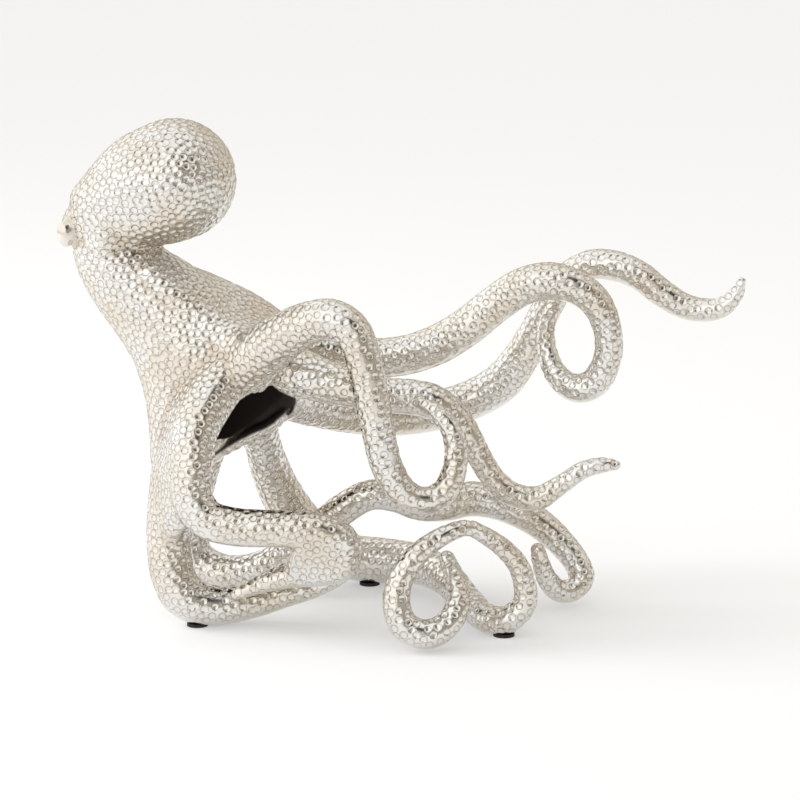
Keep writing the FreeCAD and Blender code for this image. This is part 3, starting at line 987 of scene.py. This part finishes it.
def noise_field(nodes, links, scale, detail):
    place = nodes.new("ShaderNodeTexCoord")
    noise = nodes.new("ShaderNodeTexNoise")
    noise.inputs["Scale"].default_value = scale
    noise.inputs["Detail"].default_value = detail
    links.new(place.outputs["Object"], noise.inputs["Vector"])
    return noise.outputs["Fac"]


def ranged(nodes, links, value, limits):
    span = nodes.new("ShaderNodeMapRange")
    span.inputs["To Min"].default_value, span.inputs["To Max"].default_value = limits
    links.new(value, span.inputs["Value"])
    return span.outputs["Result"]


def bumped(nodes, links, height, bump_sizes, shader):
    bump = nodes.new("ShaderNodeBump")
    bump.inputs["Strength"].default_value = bump_sizes[0]
    bump.inputs["Distance"].default_value = bump_sizes[1]
    links.new(height, bump.inputs["Height"])
    links.new(bump.outputs["Normal"], shader.inputs["Normal"])


def silver_material():
    """Old silver, with brown patina and painted shade in the dimples' rims and the creases, and
    dark in the hollow.
    """
    material, nodes, links, shader = new_material("hammered_silver")
    tint = nodes.new("ShaderNodeValToRGB")
    low, high = tint.color_ramp.elements
    low.position, low.color = TINT_FROM, (*WARM_SILVER, 1.0)
    high.position, high.color = TINT_TO, (*SILVER, 1.0)
    links.new(noise_field(nodes, links, TINT_SCALE, NOISE_DETAIL), tint.inputs["Fac"])
    # The dimples' rims are painted brown: patina, and painted shade for the dark walls of the
    # dimples.
    rim = calculated(nodes, links, "MULTIPLY", painted(nodes, "rim"), RIM_PATINA_AND_SHADE_SHARE)
    colour = joined(links, nodes, rim, tint.outputs["Color"], RIM_PATINA_AND_SHADE)
    # The creases are painted brown: patina, and painted shade where the limbs meet.
    crease_patina_and_shade = calculated(nodes, links, "MULTIPLY", painted(nodes, "crease"), CREASE_PATINA_AND_SHADE_SHARE)
    colour = joined(links, nodes, crease_patina_and_shade, colour, CREASE_PATINA_AND_SHADE)
    hollow = painted(nodes, "hollow")
    colour = joined(links, nodes, hollow, colour, HOLLOW_DARK)
    links.new(colour, shader.inputs["Base Color"])
    metal = calculated(nodes, links, "SUBTRACT", 1.0, hollow)
    links.new(metal, shader.inputs["Metallic"])
    grain = noise_field(nodes, links, GRAIN_SCALE, NOISE_DETAIL)
    rough = ranged(nodes, links, grain, GRAIN_ROUGH)
    dull = calculated(nodes, links, "MULTIPLY", hollow, HOLLOW_ROUGH)
    rough = calculated(nodes, links, "MAXIMUM", rough, dull)
    links.new(rough, shader.inputs["Roughness"])
    bumped(nodes, links, grain, GRAIN_BUMP, shader)
    return material


def rubber_material():
    material, nodes, links, shader = new_material("pad_rubber")
    shader.inputs["Base Color"].default_value = (*RUBBER_BLACK, 1.0)
    grain = noise_field(nodes, links, RUBBER_SCALE, RUBBER_DETAIL)
    links.new(ranged(nodes, links, grain, RUBBER_ROUGH), shader.inputs["Roughness"])
    bumped(nodes, links, grain, RUBBER_BUMP, shader)
    return material


# ---------------------------------------------------------------- the pieces
def piece_from(name, skin, faces, normals, paint):
    """A piece of the skin, with its own normals and what its material paints by."""
    used = np.unique(faces)
    where = np.full(len(skin.places), -1, np.int64)
    where[used] = np.arange(len(used))
    mesh = bpy.data.meshes.new(name)
    mesh.vertices.add(len(used))
    mesh.vertices.foreach_set("co", skin.places[used].astype(np.float32).ravel())
    mesh.loops.add(len(faces) * 4)
    mesh.loops.foreach_set("vertex_index", where[faces].astype(np.int32).ravel())
    mesh.polygons.add(len(faces))
    mesh.polygons.foreach_set("loop_start", np.arange(0, len(faces) * 4, 4, dtype=np.int32))
    mesh.polygons.foreach_set("loop_total", np.full(len(faces), 4, np.int32))
    mesh.update(calc_edges=True)
    mesh.validate()
    mesh.shade_smooth()
    mesh.normals_split_custom_set_from_vertices([tuple(n) for n in normals[used].tolist()])
    for title, values in paint.items():
        layer = mesh.attributes.new(title, "FLOAT", "POINT")
        layer.data.foreach_set("value", values[used].astype(np.float32))
    thing = bpy.data.objects.new(name, mesh)
    bpy.context.scene.collection.objects.link(thing)
    return thing


def make_castings():
    """One piece for each cast node. A quad goes with the castings of its corners."""
    skin = Skin(cast_object())
    skin.places = skin.blurred(skin.places, passes_for(ROUNDING))
    patina_and_shade_creases = fill_welds(skin)
    owners, normals, paint = press_dimples(skin, patina_and_shade_creases)
    owners = np.sort(owners[skin.quads], axis=1)[:, 1]
    silver = silver_material()
    for number, name in enumerate(CAST_NODES):
        faces = skin.quads[owners == number]
        piece = piece_from("cast_" + name, skin, faces, normals, paint)
        piece.data.materials.append(silver)
        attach(piece, "root")
        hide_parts(name)
    bpy.data.objects.remove(skin.thing)


def dress_pads():
    rubber = rubber_material()
    for name in PADS:
        pad = NODES[name]
        pad.data.materials.clear()
        pad.data.materials.append(rubber)


make_castings()
dress_pads()


# ---------------------------------------------------------------- stage and light
FLOOR_REACH = 30.0
FLOOR_WHITE = (0.88, 0.88, 0.88)
FLOOR_ROUGH = 0.9
FLOOR_SHINE = 0.1
FLOOR_GLOW_SHARE = 0.34
WHITE = (1.0, 1.0, 1.0)
WORLD_GROUND = (0.42, 0.38, 0.32)
# Each zone of the studio: which way it lies from the camera's side, how high, how far it
# reaches in full and in all, in degrees, and its colour. A later zone lies over the ones before.
WORLD_ZONES = (
    (-84.0, 28.0, 66.0, 96.0, (1.30, 1.30, 1.29)),
    (0.0, 90.0, 18.0, 50.0, (1.05, 1.05, 1.03)),
    (150.0, 15.0, 25.0, 60.0, (0.75, 0.70, 0.62)),
    (85.0, 35.0, 10.0, 28.0, (0.88, 0.83, 0.75)),
    (30.0, 40.0, 5.0, 20.0, (0.03, 0.03, 0.03)),
)
KEY_PLACE = Vector((-1.7, 0.1, 1.2))
KEY_AIM = Vector((0.0, 0.0, 0.15))
KEY_SIZE = 0.9
KEY_WATTS = 22.0


def make_floor():
    """A white floor: partly its own white, as paper shows, and partly lit, for the shadow."""
    reach = FLOOR_REACH
    mesh = bpy.data.meshes.new("floor")
    corners = [(x * reach, y * reach, 0.0) for x, y in ((-1, -1), (1, -1), (1, 1), (-1, 1))]
    mesh.from_pydata(corners, [], [(0, 1, 2, 3)])
    floor = bpy.data.objects.new("floor", mesh)
    bpy.context.scene.collection.objects.link(floor)
    material, nodes, links, shader = new_material("floor")
    shader.inputs["Base Color"].default_value = (*FLOOR_WHITE, 1.0)
    shader.inputs["Roughness"].default_value = FLOOR_ROUGH
    shader.inputs["Specular IOR Level"].default_value = FLOOR_SHINE
    glow = nodes.new("ShaderNodeEmission")
    path = nodes.new("ShaderNodeLightPath")
    seen = path.outputs["Is Camera Ray"]
    for name in ("Is Glossy Ray", "Is Transmission Ray"):
        seen = calculated(nodes, links, "MAXIMUM", seen, path.outputs[name])
    mix = nodes.new("ShaderNodeMixShader")
    share = calculated(nodes, links, "MULTIPLY", seen, FLOOR_GLOW_SHARE)
    links.new(share, mix.inputs["Fac"])
    links.new(shader.outputs["BSDF"], mix.inputs[1])
    links.new(glow.outputs["Emission"], mix.inputs[2])
    links.new(mix.outputs["Shader"], nodes["Material Output"].inputs["Surface"])
    mesh.materials.append(material)


def direction(azimuth, height):
    """Azimuth 0 is the camera's side of the part, and 90 its right."""
    turn, lift = math.radians(azimuth), math.radians(height)
    return (math.sin(turn) * math.cos(lift), -math.cos(turn) * math.cos(lift), math.sin(lift))


def make_world():
    """A plain studio: a wide white screen on the left, white above, dimmer on the right."""
    world = bpy.data.worlds.new("studio")
    bpy.context.scene.world = world
    world.use_nodes = True
    nodes = world.node_tree.nodes
    links = world.node_tree.links
    place = nodes.new("ShaderNodeTexCoord")
    ground = nodes.new("ShaderNodeRGB")
    ground.outputs["Color"].default_value = (*WORLD_GROUND, 1.0)
    colour = ground.outputs["Color"]
    for azimuth, height, full, whole, tone in WORLD_ZONES:
        near = nodes.new("ShaderNodeVectorMath")
        near.operation = "DOT_PRODUCT"
        near.inputs[1].default_value = direction(azimuth, height)
        links.new(place.outputs["Generated"], near.inputs[0])
        span = nodes.new("ShaderNodeMapRange")
        span.interpolation_type = "SMOOTHSTEP"
        span.inputs["From Min"].default_value = math.cos(math.radians(whole))
        span.inputs["From Max"].default_value = math.cos(math.radians(full))
        links.new(near.outputs["Value"], span.inputs["Value"])
        colour = joined(links, nodes, span.outputs["Result"], colour, tone)
    path = nodes.new("ShaderNodeLightPath")
    colour = joined(links, nodes, path.outputs["Is Camera Ray"], colour, WHITE)
    links.new(colour, nodes["Background"].inputs["Color"])


def make_key_lamp():
    """The lamp that throws the soft shadow. The metal mirrors the screen on the left instead."""
    data = bpy.data.lights.new("key", "AREA")
    data.shape = "RECTANGLE"
    data.size = KEY_SIZE
    data.size_y = KEY_SIZE
    data.energy = KEY_WATTS
    lamp = bpy.data.objects.new("key", data)
    lamp.location = KEY_PLACE
    lamp.rotation_mode = "QUATERNION"
    lamp.rotation_quaternion = (KEY_AIM - KEY_PLACE).to_track_quat("-Z", "Y")
    lamp.visible_glossy = False
    bpy.context.scene.collection.objects.link(lamp)


make_floor()
make_world()
make_key_lamp()
bpy.context.scene.view_settings.view_transform = "Standard"

bpy.context.view_layer.update()
